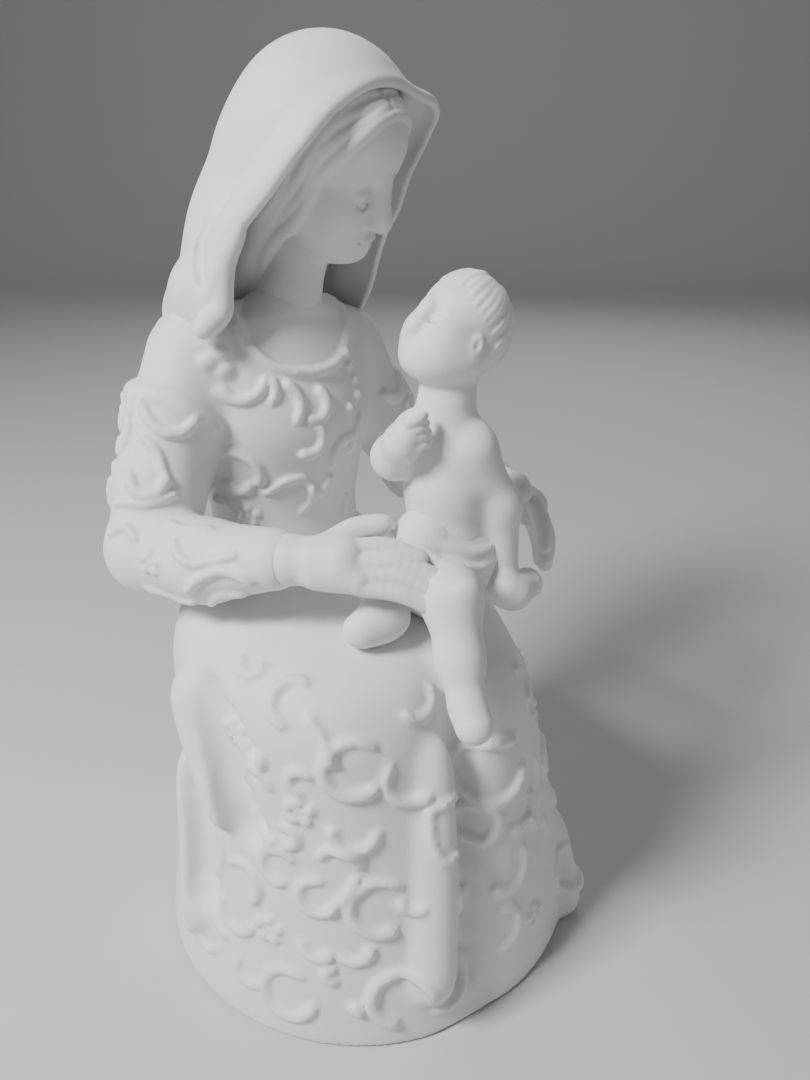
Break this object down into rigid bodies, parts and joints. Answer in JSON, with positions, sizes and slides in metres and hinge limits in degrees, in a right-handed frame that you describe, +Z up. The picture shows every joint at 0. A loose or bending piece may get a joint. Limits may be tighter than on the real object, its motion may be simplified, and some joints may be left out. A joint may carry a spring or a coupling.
{
  "type": "mother and child figurine",
  "caption": "Bisque porcelain figurine of a seated, veiled mother holding a child on her lap, standing on its flat skirt hem.",
  "frame": {"origin": "centre of the figurine's footprint box, on the plane it stands on", "axes": "+Z up, the mother's lap and skirt face -Y, and +X is on her left"},
  "size_m": [0.1172, 0.1168, 0.2228],
  "materials": {
    "dress": "unglazed matt bisque",
    "veil": "unglazed matt bisque",
    "flesh": "unglazed matt bisque",
    "loincloth": "unglazed matt bisque"
  },
  "bodies": {
    "root": {"skirt": "dress", "bodice": "dress", "head": "flesh", "veil": "veil", "right_sleeve": "dress", "left_sleeve": "dress", "right_hand": "flesh", "left_hand": "flesh", "child_head": "flesh", "child_body": "flesh", "child_left_arm": "flesh", "child_right_arm": "flesh", "child_left_leg": "flesh", "child_right_leg": "flesh", "loincloth": "loincloth"}
  },
  "joints": []
}
